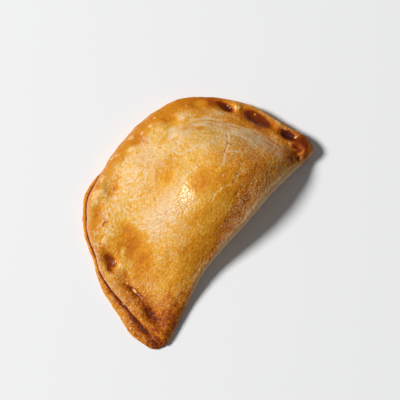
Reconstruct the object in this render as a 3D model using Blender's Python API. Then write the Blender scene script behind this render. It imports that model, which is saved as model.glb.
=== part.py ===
"""Baked half-moon pastry: a disc of dough folded over its filling and sealed by finger presses.

The tables and sizes are in millimetres, and the mesh is in metres. +X runs along the fold, +Y from the
fold to the sealed edge, and +Z up. The origin is on the surface that the pastry rests on, under the
middle of its outline. The filling is shut in, so the pastry is one solid: rings of points run from a
pole on the dome out to the sealed edge and the fold, down both, and back under the flat base.
"""

import math

import bmesh
import bpy
import numpy as np
from mathutils import Vector, noise

MM = 0.001

# Number of points round each ring, of rings on the dome and on the base, and of samples between two
# stations of the outline's curve.
POINTS_ROUND = 136
DOME_RINGS = 17
BASE_RINGS = 3
CURVE_SAMPLES = 24

# The point of the drawing that all rings run round.
POLE = (-1.5, -17.0)

# Height of the crown, its distance along the fold, and the ends that the dome falls to on either side,
# with how fast it falls: the pastry is plump towards its +X tip and lean towards the other.
CROWN_HEIGHT = 29.0
CROWN_ALONG = 24.0
DOME_ENDS = (-58.0, 57.0)
FALLS = (2.7, 1.25)

# Where the crest lies between the fold, 0, and the sealed border, 1: at the middle, and how much more
# of the way at the +X tip.
CREST = 0.47
CREST_SHIFT = 0.05

# The fold's side: the height of its widest line at the two tips and at the crown, the radius of the
# shoulder over it, the slope in degrees at which the dome meets that at the tips and at the crown, and
# how far the side under it tucks in.
LIMB_TIPS = (1.2, 5.2)
LIMB_CROWN = 16.0
SHOULDER_RADIUS = 5.0
SHOULDER_SLOPES = (14.0, 32.0)
SHOULDER_LEVELS = 4
TUCK_UNDER = 7.0

# Sealed edge: the lower layer's thickness, and the heights of the upper layer's rim and of the inner
# side of the pressed border.
LOWER_LAYER = 4.0
RIM_HEIGHT = 8.0
BORDER_HEIGHT = 9.8

# The parting line between the layers: its depth where they are pressed shut and where they gape, and
# the ledge of lower dough that goes with a full gape.
SHUT_DEPTH = 0.5
GAPE_DEPTH = 2.8
GAPE_LEDGE = 2.5

# In the sealed edge's section, how many of its levels lie on the pressed border, and the level of the
# parting line. Over the fold the presses and lumps fade out down the same number of levels.
BORDER_LEVELS = 5
PARTING_LEVEL = 7

# The plan is drawn about a point near the middle; the origin lies under this point of the drawing.
DRAWING_CENTRE = (-0.3, 0.2)

# Stations round the outline, anticlockwise from the +X tip: x, y, how far the lower layer stands out
# past the upper one, the pressed border's width, how much of the section is sealed edge, 1, against
# fold, 0, and the sealed edge's thickness against the usual one.
OUTLINE = (
    (66.2, -38.2, 0.4, 6.0, 0.85, 1.12),
    (67.9, -29.8, 1.0, 7.0, 1.0, 1.12),
    (66.7, -17.0, 1.3, 7.0, 1.0, 1.12),
    (64.3, -2.0, 0.4, 7.5, 1.0, 1.12),
    (60.1, 8.7, 0.3, 7.5, 1.0, 1.12),
    (53.3, 21.2, 0.3, 7.0, 1.0, 1.09),
    (43.2, 31.9, 0.3, 7.0, 1.0, 1.02),
    (31.8, 37.6, 0.4, 7.0, 1.0, 1.0),
    (19.9, 40.5, 0.4, 7.0, 1.0, 1.0),
    (5.0, 41.5, 0.3, 7.0, 1.0, 1.0),
    (-9.0, 40.4, 0.2, 9.0, 1.0, 1.0),
    (-18.0, 40.9, 2.3, 10.0, 1.0, 1.0),
    (-27.1, 39.6, 2.8, 10.5, 1.0, 1.0),
    (-35.0, 34.0, 2.2, 10.0, 1.0, 1.0),
    (-43.2, 26.2, 1.9, 9.5, 1.0, 0.92),
    (-50.3, 15.2, 2.0, 9.5, 1.0, 0.77),
    (-55.0, 9.1, 2.2, 9.5, 1.0, 0.68),
    (-60.4, 0.1, 4.5, 9.5, 1.0, 0.61),
    (-64.0, -11.5, 5.6, 10.0, 1.0, 0.6),
    (-68.1, -22.8, 7.4, 10.0, 1.0, 0.6),
    (-68.5, -31.0, 7.2, 9.5, 1.0, 0.6),
    (-66.9, -38.0, 4.6, 8.0, 0.95, 0.6),
    (-61.8, -41.7, 1.5, 7.0, 0.6, 0.6),
    (-54.0, -40.0, 0.3, 6.0, 0.12, 0.7),
    (-45.0, -38.2, 0.0, 6.0, 0.0, 0.88),
    (-33.0, -35.7, 0.0, 6.0, 0.0, 1.0),
    (-20.0, -34.0, 0.0, 6.0, 0.0, 1.0),
    (-5.0, -34.7, 0.0, 6.0, 0.0, 1.0),
    (12.0, -36.4, 0.0, 6.0, 0.0, 1.0),
    (30.0, -37.3, 0.0, 6.0, 0.0, 1.0),
    (45.0, -38.9, 0.0, 6.0, 0.0, 1.03),
    (56.5, -40.2, 0.2, 6.0, 0.12, 1.1),
    (62.6, -41.1, 0.3, 6.0, 0.5, 1.12),
)

# Presses and hollows in the top: x, y, half length, half width, direction in degrees, and depth.
# A negative depth is a swelling.
HOLLOWS = (
    (-44.8, 7.8, 4.6, 3.2, 75.0, 2.4),
    (-48.3, 4.9, 2.2, 1.8, 60.0, 0.7),
    (-48.3, -5.0, 5.2, 3.4, 70.0, 1.5),
    (-50.2, -12.7, 4.4, 1.7, 85.0, 1.6),
    (-54.0, -26.5, 7.4, 3.2, 72.0, 2.2),
    (-16.0, 29.0, 8.0, 3.6, 30.0, 1.0),
    (-29.0, 27.0, 7.0, 3.2, 35.0, 0.7),
    (13.0, 34.0, 4.2, 3.0, 10.0, 0.8),
    (31.2, 26.6, 4.2, 1.8, -25.0, 1.3),
    (29.8, 23.4, 4.6, 1.6, -33.0, 0.8),
    (47.0, 20.5, 4.4, 2.8, -48.0, 0.9),
    (54.0, 8.8, 5.8, 2.5, -71.0, 2.6),
    (59.0, -7.6, 8.6, 3.6, -79.0, 2.3),
    (61.4, -25.8, 5.0, 2.4, -80.0, 2.6),
    (56.9, -35.2, 4.6, 2.5, 30.0, 1.3),
    (57.6, -30.6, 3.2, 2.2, 75.0, 0.7),
    (57.6, 4.4, 2.8, 2.2, 0.0, -1.2),
    (62.4, -18.6, 2.6, 2.2, 0.0, -0.8),
    (-37.0, 1.0, 10.0, 6.0, 65.0, 0.8),
    (-18.0, -8.0, 13.0, 9.0, 20.0, -0.7),
    (22.0, -8.0, 13.0, 9.0, 10.0, -0.6),
    (4.0, 10.0, 14.0, 7.0, 0.0, 0.5),
    (-20.5, 33.4, 4.4, 2.6, 20.0, -0.7),
    (-28.5, 33.0, 3.4, 2.2, 35.0, -0.6),
)

# Unevenness of the baked dough: wavelength and height of the lumps on top, and of the edge's waves.
LUMPS = ((14.0, 0.45), (5.5, 0.28))
EDGE_WAVES = (7.0, 0.45)

CRUST_COLOUR = (0.60, 0.32, 0.095, 1.0)
CRUST_ROUGHNESS = 0.48


def clear_scene():
    for item in list(bpy.data.objects):
        bpy.data.objects.remove(item, do_unlink=True)


def smooth_step(value):
    value = np.clip(value, 0.0, 1.0)
    return value * value * (3.0 - 2.0 * value)


def closed_curve(stations, samples):
    """Catmull-Rom curve through the stations, with some samples between each two."""
    before, start = np.roll(stations, 1, axis=0), stations
    end, after = np.roll(stations, -1, axis=0), np.roll(stations, -2, axis=0)
    pieces = []
    for u in np.arange(samples) / samples:
        pieces.append(0.5 * (2.0 * start + (end - before) * u
                             + (2.0 * before - 5.0 * start + 4.0 * end - after) * u ** 2
                             + (3.0 * start - before - 3.0 * end + after) * u ** 3))
    return np.stack(pieces, axis=1).reshape(-1, stations.shape[1])


def even_points(curve, count):
    """The closed curve's rows at equal distances along its plan outline."""
    closed = np.vstack([curve, curve[:1]])
    steps = np.hypot(*np.diff(closed[:, :2], axis=0).T)
    travelled = np.concatenate([[0.0], np.cumsum(steps)])
    wanted = np.arange(count) / count * travelled[-1]
    return np.stack([np.interp(wanted, travelled, column) for column in closed.T], axis=1)


def inward_directions(plan):
    """Unit vectors into the pastry, turned gradually round the tips so that insets don't cross."""
    along = np.roll(plan, -1, axis=0) - np.roll(plan, 1, axis=0)
    inward = np.stack([-along[:, 1], along[:, 0]], axis=1)
    inward /= np.hypot(*inward.T)[:, None]
    reach = max(1, round(len(plan) * 0.03))
    for _ in range(3):
        inward = sum(np.roll(inward, shift, axis=0) for shift in range(-reach, reach + 1))
        inward /= np.hypot(*inward.T)[:, None]
    return inward


def waves(plan, height, wavelength, amount):
    """Smooth unevenness at points in plan, at a height that picks a slice of the noise."""
    return np.array([
        amount * noise.noise(Vector((x / wavelength, y / wavelength, height)))
        for x, y in plan
    ])


def border_weights(points, border):
    """Mean value coordinates: the share of each border point in a smooth blend at each inner point."""
    spokes = border[None] - points[:, None]
    lengths = np.hypot(spokes[..., 0], spokes[..., 1])
    ahead = np.roll(spokes, -1, axis=1)
    cross = spokes[..., 0] * ahead[..., 1] - spokes[..., 1] * ahead[..., 0]
    dot = (spokes * ahead).sum(axis=2)
    half_tangent = np.tan(0.5 * np.arctan2(cross, dot))
    weights = (half_tangent + np.roll(half_tangent, 1, axis=1)) / lengths
    return weights / weights.sum(axis=1)[:, None]


def lengthwise_share(along):
    """How much of the crown's rise is left at each distance along the fold."""
    side = np.where(along < CROWN_ALONG, DOME_ENDS[0], DOME_ENDS[1])
    way = np.clip((along - CROWN_ALONG) / (side - CROWN_ALONG), 0.0, 1.0)
    return (1.0 - way ** 2) ** np.where(along < CROWN_ALONG, *FALLS)


def dome_height(plan, part_across, ground):
    """Height of the smooth dome at points in plan, over ground that runs between its borders."""
    crest = CREST + CREST_SHIFT * plan[:, 0] / DOME_ENDS[1]
    from_crest = np.where(part_across < crest, (crest - part_across) / crest,
                          (part_across - crest) / (1.0 - crest))
    rise = lengthwise_share(plan[:, 0]) * (1.0 - np.clip(from_crest, 0.0, 1.0) ** 2)
    return ground + (CROWN_HEIGHT - ground) * rise


def hollow_depth(plan):
    """Depth of the finger presses and other hollows at points in plan."""
    depth = np.zeros(len(plan))
    for x, y, half_length, half_width, direction, deepest in HOLLOWS:
        turn = math.radians(direction)
        offset = plan - (x, y)
        lengthwise = (offset @ (math.cos(turn), math.sin(turn))) / half_length
        sideways = (offset @ (-math.sin(turn), math.cos(turn))) / half_width
        depth += deepest * np.exp(-(lengthwise ** 2 + sideways ** 2) ** 1.3)
    return depth


def top_relief(plan):
    """What the presses and the lumps of the dough add to the height at points in plan."""
    lumps = sum(waves(plan, 0.7 * order, size, amount) for order, (size, amount) in enumerate(LUMPS))
    return lumps - hollow_depth(plan)


def sealed_section(ledge, width, thickness):
    """Insets and heights down the sealed edge, from the pressed border to the base."""
    gape = SHUT_DEPTH + (GAPE_DEPTH - SHUT_DEPTH) * smooth_step(ledge / GAPE_LEDGE)
    top, low = RIM_HEIGHT, LOWER_LAYER
    slope = BORDER_HEIGHT - top
    border = ((ledge + 0.82 * width, top + 0.76 * slope),
              (ledge + 0.60 * width, top + 0.46 * slope),
              (ledge + 0.38 * width, top + 0.20 * slope),
              (ledge + 0.20 * width, top - 0.1),
              (ledge + 0.07 * width, top - 0.8))
    upper_edge = ((ledge + 0.1, top - 2.1),
                  (ledge + 0.35, low + 1.0))
    parting = ((ledge + gape, low + 0.45),)
    lower_edge = ((0.75 * ledge + 0.7, low + 0.1),
                  (0.35 * ledge + 0.8, low - 0.1),
                  (0.3, low - 1.1),
                  (0.2, 0.35 * low),
                  (1.2, 0.1 * low))
    base = ((3.0, 0.0),)
    section = np.array(border + upper_edge + parting + lower_edge + base)
    return section * (1.0, thickness)


def shoulder_point(slope):
    """Inset and height of a point of the fold's round shoulder, against the fold's widest line."""
    return SHOULDER_RADIUS * (1.0 - np.sin(slope)), SHOULDER_RADIUS * np.cos(slope)


def fold_section(limb, slope, levels):
    """Insets and heights down the fold, from the shoulder, where it has this slope, to the base."""
    upright = 0.5 * math.pi
    section = []
    for part in np.arange(1, SHOULDER_LEVELS + 1) / SHOULDER_LEVELS:
        inset, rise = shoulder_point(slope + part * (upright - slope))
        section.append((inset, limb + rise))
    below = levels - SHOULDER_LEVELS
    for turn in np.arange(1, below + 1) * upright / below:
        section.append((TUCK_UNDER * (1.0 - math.cos(turn)), limb * (1.0 - math.sin(turn))))
    return np.array(section)


def dome_rings(border, seal, border_height):
    """Rings from the pole out to the sealed border and the fold's shoulder."""
    rings = []
    for step in range(1, DOME_RINGS):
        plan = np.array(POLE) + math.sin(0.5 * math.pi * step / DOME_RINGS) * (border - POLE)
        rings.append(on_dome(plan, border, seal, border_height))
    return rings + [np.column_stack([border, border_height + top_relief(border)])]


def on_dome(plan, border, seal, border_height):
    """Points on the dome, with its presses and lumps, over points in plan."""
    weights = border_weights(plan, border)
    height = dome_height(plan, weights @ seal, weights @ border_height)
    return np.column_stack([plan, height + top_relief(plan)])


def edge_rings(outline, ledge, width, seal, thickness, inward, limb, slope):
    """Rings over the sealed edge and down the fold to the base."""
    wavelength, amount = EDGE_WAVES
    upper_wave = waves(outline, 3.0, wavelength, amount)
    lower_wave = waves(outline, 9.0, wavelength, amount)
    sealed = np.array([sealed_section(*sizes) for sizes in zip(ledge, width, thickness)])
    folded = np.array([fold_section(*side, sealed.shape[1]) for side in zip(limb, slope)])
    mixed = folded + (sealed - folded) * seal[:, None, None]
    rings = []
    for level in range(mixed.shape[1]):
        wave = upper_wave if level < PARTING_LEVEL else lower_wave
        settled = level == mixed.shape[1] - 1
        inset = mixed[:, level, 0] + (0.0 if settled else wave * seal)
        plan = outline + inward * inset[:, None]
        height = mixed[:, level, 1]
        if level < BORDER_LEVELS:
            fading = 1.0 - (level + 1) / BORDER_LEVELS
            height = height + top_relief(plan) * (fading + seal * (1.0 - fading))
        rings.append(np.column_stack([plan, height]))
    return rings


def base_rings(last):
    """Flat rings from the base's edge towards its middle."""
    shares = [1.0 - step / BASE_RINGS for step in range(1, BASE_RINGS)]
    return [np.column_stack([POLE + share * (last[:, :2] - POLE), np.zeros(len(last))])
            for share in shares]


def pastry_rings():
    """The point at the pole and all rings, in millimetres, down to the middle of the base."""
    stations = even_points(closed_curve(np.array(OUTLINE), CURVE_SAMPLES), POINTS_ROUND)
    outline, width, thickness = stations[:, :2], stations[:, 3], stations[:, 5]
    ledge = np.clip(stations[:, 2], 0.0, None)
    seal = np.clip(stations[:, 4], 0.0, 1.0)
    inward = inward_directions(outline)
    share = lengthwise_share(outline[:, 0])
    limb_tip = np.where(outline[:, 0] < CROWN_ALONG, *LIMB_TIPS)
    limb = limb_tip + (LIMB_CROWN - limb_tip) * share
    slope = np.radians(SHOULDER_SLOPES[0] + (SHOULDER_SLOPES[1] - SHOULDER_SLOPES[0]) * share)
    shoulder_inset, shoulder_rise = shoulder_point(slope)
    inset = shoulder_inset + seal * (ledge + width - shoulder_inset)
    border = outline + inward * inset[:, None]
    shoulder = limb + shoulder_rise
    border_height = shoulder + seal * (BORDER_HEIGHT * thickness - shoulder)
    pole = on_dome(np.array([POLE]), border, seal, border_height)[0]
    rings = dome_rings(border, seal, border_height)
    rings += edge_rings(outline, ledge, width, seal, thickness, inward, limb, slope)
    return pole, rings + base_rings(rings[-1])


def build_mesh(name):
    """Closed mesh over the rings, with a fan at the pole and another at the middle of the base."""
    pole, rings = pastry_rings()
    centre = Vector((*DRAWING_CENTRE, 0.0))
    shape = bmesh.new()
    loops = [[shape.verts.new((Vector(point) - centre) * MM) for point in ring] for ring in rings]
    crown = shape.verts.new((Vector(pole) - centre) * MM)
    middle = shape.verts.new((Vector((*POLE, 0.0)) - centre) * MM)
    for here in range(POINTS_ROUND):
        ahead = (here + 1) % POINTS_ROUND
        shape.faces.new((crown, loops[0][here], loops[0][ahead]))
        for upper, lower in zip(loops, loops[1:]):
            shape.faces.new((upper[here], lower[here], lower[ahead], upper[ahead]))
        shape.faces.new((middle, loops[-1][ahead], loops[-1][here]))
    bmesh.ops.triangulate(shape, faces=shape.faces, quad_method="SHORT_EDGE")
    mesh = bpy.data.meshes.new(name)
    shape.to_mesh(mesh)
    shape.free()
    mesh.shade_smooth()
    return mesh


def crust_material():
    material = bpy.data.materials.new("baked_crust")
    material.use_nodes = True
    shader = material.node_tree.nodes["Principled BSDF"]
    shader.inputs["Base Color"].default_value = CRUST_COLOUR
    shader.inputs["Roughness"].default_value = CRUST_ROUGHNESS
    shader.inputs["Metallic"].default_value = 0.0
    return material


def make_pastry():
    mesh = build_mesh("empanada")
    mesh.materials.append(crust_material())
    pastry = bpy.data.objects.new("empanada", mesh)
    bpy.context.scene.collection.objects.link(pastry)
    return pastry


def main():
    clear_scene()
    make_pastry()


main()
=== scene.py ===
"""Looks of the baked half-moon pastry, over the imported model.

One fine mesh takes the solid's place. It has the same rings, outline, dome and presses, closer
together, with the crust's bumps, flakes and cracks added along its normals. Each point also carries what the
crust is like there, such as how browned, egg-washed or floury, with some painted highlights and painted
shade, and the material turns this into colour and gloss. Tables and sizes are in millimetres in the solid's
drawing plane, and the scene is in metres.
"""

import math

import bpy
import numpy as np
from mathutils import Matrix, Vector, kdtree, noise


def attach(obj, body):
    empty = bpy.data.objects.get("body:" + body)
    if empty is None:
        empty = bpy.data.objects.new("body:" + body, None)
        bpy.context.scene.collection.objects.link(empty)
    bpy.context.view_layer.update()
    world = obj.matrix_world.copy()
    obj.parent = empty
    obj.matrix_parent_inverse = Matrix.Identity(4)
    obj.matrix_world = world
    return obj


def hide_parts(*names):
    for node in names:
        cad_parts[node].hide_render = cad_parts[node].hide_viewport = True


MM = 0.001

# Number of points round the rings, of rings on the dome and on the base, of samples between two
# stations of the outline's curve, and of steps between two levels of the edge's section.
POINTS_ROUND = 640
DOME_RINGS = 104
BASE_RINGS = 5
CURVE_SAMPLES = 24
SECTION_STEPS = 4

# The solid's form, as its source has it: pole of the rings, dome, fold and sealed edge.
POLE = (-1.5, -17.0)
CROWN_HEIGHT = 29.0
CROWN_ALONG = 24.0
DOME_ENDS = (-58.0, 57.0)
FALLS = (2.7, 1.25)
CREST = 0.47
CREST_SHIFT = 0.05
LIMB_TIPS = (1.2, 5.2)
LIMB_CROWN = 16.0
SHOULDER_RADIUS = 5.0
SHOULDER_SLOPES = (14.0, 32.0)
SHOULDER_LEVELS = 4
TUCK_UNDER = 7.0
LOWER_LAYER = 4.0
RIM_HEIGHT = 8.0
BORDER_HEIGHT = 9.8
SHUT_DEPTH = 0.5
GAPE_DEPTH = 2.8
GAPE_LEDGE = 2.5
BORDER_LEVELS = 5
PARTING_LEVEL = 7
DRAWING_CENTRE = (-0.3, 0.2)

# Stations round the outline, anticlockwise from the +X tip: x, y, how far the lower layer stands out
# past the upper one, the pressed border's width, how much of the section is sealed edge, 1, against
# fold, 0, and the sealed edge's thickness against the usual one.
OUTLINE = (
    (66.2, -38.2, 0.4, 6.0, 0.85, 1.12),
    (67.9, -29.8, 1.0, 7.0, 1.0, 1.12),
    (66.7, -17.0, 1.3, 7.0, 1.0, 1.12),
    (64.3, -2.0, 0.4, 7.5, 1.0, 1.12),
    (60.1, 8.7, 0.3, 7.5, 1.0, 1.12),
    (53.3, 21.2, 0.3, 7.0, 1.0, 1.09),
    (43.2, 31.9, 0.3, 7.0, 1.0, 1.02),
    (31.8, 37.6, 0.4, 7.0, 1.0, 1.0),
    (19.9, 40.5, 0.4, 7.0, 1.0, 1.0),
    (5.0, 41.5, 0.3, 7.0, 1.0, 1.0),
    (-9.0, 40.4, 0.2, 9.0, 1.0, 1.0),
    (-18.0, 40.9, 2.3, 10.0, 1.0, 1.0),
    (-27.1, 39.6, 2.8, 10.5, 1.0, 1.0),
    (-35.0, 34.0, 2.2, 10.0, 1.0, 1.0),
    (-43.2, 26.2, 1.9, 9.5, 1.0, 0.92),
    (-50.3, 15.2, 2.0, 9.5, 1.0, 0.77),
    (-55.0, 9.1, 2.2, 9.5, 1.0, 0.68),
    (-60.4, 0.1, 4.5, 9.5, 1.0, 0.61),
    (-64.0, -11.5, 5.6, 10.0, 1.0, 0.6),
    (-68.1, -22.8, 7.4, 10.0, 1.0, 0.6),
    (-68.5, -31.0, 7.2, 9.5, 1.0, 0.6),
    (-66.9, -38.0, 4.6, 8.0, 0.95, 0.6),
    (-61.8, -41.7, 1.5, 7.0, 0.6, 0.6),
    (-54.0, -40.0, 0.3, 6.0, 0.12, 0.7),
    (-45.0, -38.2, 0.0, 6.0, 0.0, 0.88),
    (-33.0, -35.7, 0.0, 6.0, 0.0, 1.0),
    (-20.0, -34.0, 0.0, 6.0, 0.0, 1.0),
    (-5.0, -34.7, 0.0, 6.0, 0.0, 1.0),
    (12.0, -36.4, 0.0, 6.0, 0.0, 1.0),
    (30.0, -37.3, 0.0, 6.0, 0.0, 1.0),
    (45.0, -38.9, 0.0, 6.0, 0.0, 1.03),
    (56.5, -40.2, 0.2, 6.0, 0.12, 1.1),
    (62.6, -41.1, 0.3, 6.0, 0.5, 1.12),
)

# Presses and hollows in the top: x, y, half length, half width, direction in degrees, and depth.
# A negative depth is a swelling.
HOLLOWS = (
    (-44.8, 7.8, 4.6, 3.2, 75.0, 2.4),
    (-48.3, 4.9, 2.2, 1.8, 60.0, 0.7),
    (-48.3, -5.0, 5.2, 3.4, 70.0, 1.5),
    (-50.2, -12.7, 4.4, 1.7, 85.0, 1.6),
    (-54.0, -26.5, 7.4, 3.2, 72.0, 2.2),
    (-16.0, 29.0, 8.0, 3.6, 30.0, 1.0),
    (-29.0, 27.0, 7.0, 3.2, 35.0, 0.7),
    (13.0, 34.0, 4.2, 3.0, 10.0, 0.8),
    (31.2, 26.6, 4.2, 1.8, -25.0, 1.3),
    (29.8, 23.4, 4.6, 1.6, -33.0, 0.8),
    (47.0, 20.5, 4.4, 2.8, -48.0, 0.9),
    (54.0, 8.8, 5.8, 2.5, -71.0, 2.6),
    (59.0, -7.6, 8.6, 3.6, -79.0, 2.3),
    (61.4, -25.8, 5.0, 2.4, -80.0, 2.6),
    (56.9, -35.2, 4.6, 2.5, 30.0, 1.3),
    (57.6, -30.6, 3.2, 2.2, 75.0, 0.7),
    (57.6, 4.4, 2.8, 2.2, 0.0, -1.2),
    (62.4, -18.6, 2.6, 2.2, 0.0, -0.8),
    (-37.0, 1.0, 10.0, 6.0, 65.0, 0.8),
    (-18.0, -8.0, 13.0, 9.0, 20.0, -0.7),
    (22.0, -8.0, 13.0, 9.0, 10.0, -0.6),
    (4.0, 10.0, 14.0, 7.0, 0.0, 0.5),
    (-20.5, 33.4, 4.4, 2.6, 20.0, -0.7),
    (-28.5, 33.0, 3.4, 2.2, 35.0, -0.6),
)

# Unevenness of the baked dough: wavelength and height of the lumps on top, and of the edge's waves.
LUMPS = ((14.0, 0.45), (5.5, 0.28))
EDGE_WAVES = (7.0, 0.45)

# Fine relief along the normals: wavelength and height of the crust's grain, all over and, on top of
# that, on the rough lower layer and the lean tip.
GRAIN = ((3.2, 0.09), (1.7, 0.08), (1.1, 0.06))
ROUGH_GRAIN = ((2.6, 0.22), (1.3, 0.22))

# The tone that the rough grain starts at and how fast it grows; the height of the flakes and the
# strengths at which they rise; and the height over the base at which the relief is full.
ROUGH_TONE, ROUGH_GROWTH = 0.5, 0.8
FLAKE_HEIGHT = 0.25
FLAKE_RISE = (0.3, 0.5)
RELIEF_FULL = 1.0

# How far along the outline the inward directions are evened out, as a part of it, and how far out the
# ring lies that leads over from the dome to the edge.
INWARD_REACH = 0.03
LEAD_RING = 0.97

# Cracks in the flank: points along each, half width and strength.
CRACKS = (
    (((-33.8, 21.2), (-32.4, 21.9), (-30.4, 21.6)), 0.35, 1.0),
    (((-39.8, 17.8), (-38.6, 18.3), (-37.4, 18.1)), 0.30, 0.8),
    (((16.6, -25.4), (18.2, -27.6), (18.6, -30.0), (20.8, -31.4)), 0.30, 0.7),
)

# The kinds of crust, as tone from pale, 0, to scorched, 1, and warmth from floury, 0, to egg-washed, 2; the
# first is no crust but a painted highlight, near white.
PAINTED_GLINT = (0.02, 0.00)
CREAM = (0.16, 0.35)
PALE = (0.24, 0.50)
DUSTY = (0.26, 0.20)
FLOURED = (0.33, 0.05)
STRAW = (0.30, 0.85)
GOLDEN = (0.38, 1.20)
HONEY = (0.44, 0.85)
AMBER = (0.45, 2.00)
RUSSET = (0.54, 2.10)
ROSY = (0.46, 0.30)
DUN = (0.62, 0.40)
TOASTED = (0.52, 0.95)
BROWNED = (0.58, 1.15)
CHESTNUT = (0.70, 1.25)
DARK = (0.83, 1.40)
SCORCHED = (0.92, 1.30)
CHARRED = (1.00, 0.80)
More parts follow.
